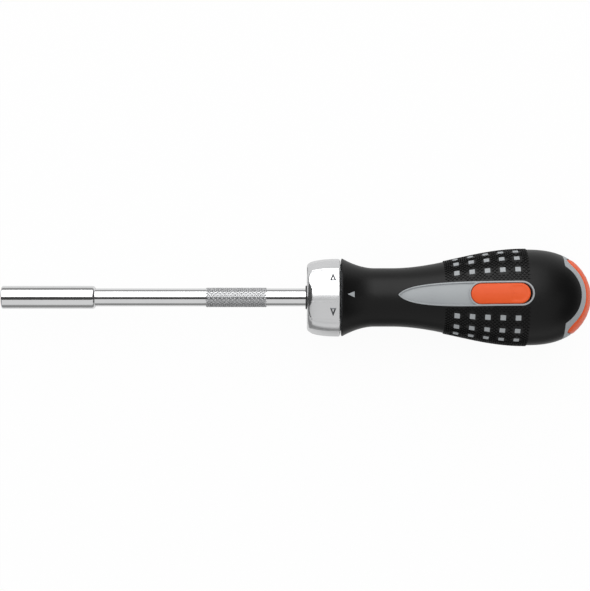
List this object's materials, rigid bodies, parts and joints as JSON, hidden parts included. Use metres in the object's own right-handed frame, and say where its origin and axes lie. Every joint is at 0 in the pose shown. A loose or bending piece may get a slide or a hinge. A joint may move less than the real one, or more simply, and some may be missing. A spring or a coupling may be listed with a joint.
{
  "type": "bit holder screwdriver",
  "caption": "Ratchet screwdriver: chromed shaft with a magnetic hex bit socket, a selector ring, and a rubber-skinned handle with a button that frees a bit magazine in its butt",
  "frame": {"origin": "centre of the magnet's face at the bottom of the hex socket, where a bit seats", "axes": "+X along the shaft from the bit to the butt, +Z out of the release button, +Y completes the right-handed set"},
  "size_m": [0.2353, 0.0384, 0.0386],
  "materials": {
    "chrome": "polished",
    "steel": "satin",
    "spring_steel": "bright drawn wire",
    "black_rubber": "matt, with a fine moulded lattice",
    "black_plastic": "satin",
    "grey_plastic": "satin",
    "orange_plastic": "satin"
  },
  "bodies": {
    "handle": {"handle_core": "grey_plastic", "grip": "black_rubber", "ratchet_housing": "steel", "housing_cover": "steel", "thrust_washer": "steel", "front_bush": "black_plastic", "ring_snap": "spring_steel", "pawl_pin": "steel", "button_pin": "steel", "button_spring": "spring_steel", "eject_spring": "spring_steel", "cover_screw_1": "steel", "cover_screw_2": "steel", "cover_screw_3": "steel"},
    "spindle": {"bit_sleeve": "chrome", "bit_magnet": "steel", "drive_shaft": "chrome", "ratchet_gear": "steel", "shaft_circlip": "spring_steel"},
    "selector": {"selector_ring": "chrome", "selector_ball": "steel", "selector_spring": "spring_steel"},
    "pawl_rocker": {"pawl": "steel"},
    "button": {"release_button": "orange_plastic"},
    "magazine": {"magazine_tray": "black_plastic", "magazine_cap": "orange_plastic", "bit_1_slot": "steel", "bit_2_cross": "steel", "bit_3_hex": "steel", "bit_4_cross": "steel", "bit_5_slot": "steel", "bit_6_hex": "steel"}
  },
  "joints": [
    {"name": "spindle_spin", "type": "hinge", "parent": "handle", "child": "spindle", "pos_m": [0, 0, 0], "axis": [1, 0, 0], "continuous": true},
    {"name": "selector_turn", "type": "hinge", "parent": "handle", "child": "selector", "pos_m": [0.117, 0, 0], "axis": [1, 0, 0], "range_deg": [-25.7, 25.7]},
    {"name": "pawl_rock", "type": "hinge", "parent": "handle", "child": "pawl_rocker", "pos_m": [0.117, 0, -0.0083], "axis": [1, 0, 0], "range_deg": [-5.2, 5.2]},
    {"name": "button_press", "type": "hinge", "parent": "handle", "child": "button", "pos_m": [0.1864, 0, 0.01198], "axis": [0, 1, 0], "range_deg": [0, 6], "stiffness_Nm_per_rad": 0.5, "springref_deg": -2.86, "deforming": ["button_spring"]},
    {"name": "magazine_slide", "type": "slide", "parent": "handle", "child": "magazine", "axis": [1, 0, 0], "range_m": [0, 0.0325], "deforming": ["eject_spring"]}
  ],
  "couplings": [
    {"joint": "pawl_rock", "follows": "selector_turn", "ratio": 0.2}
  ]
}
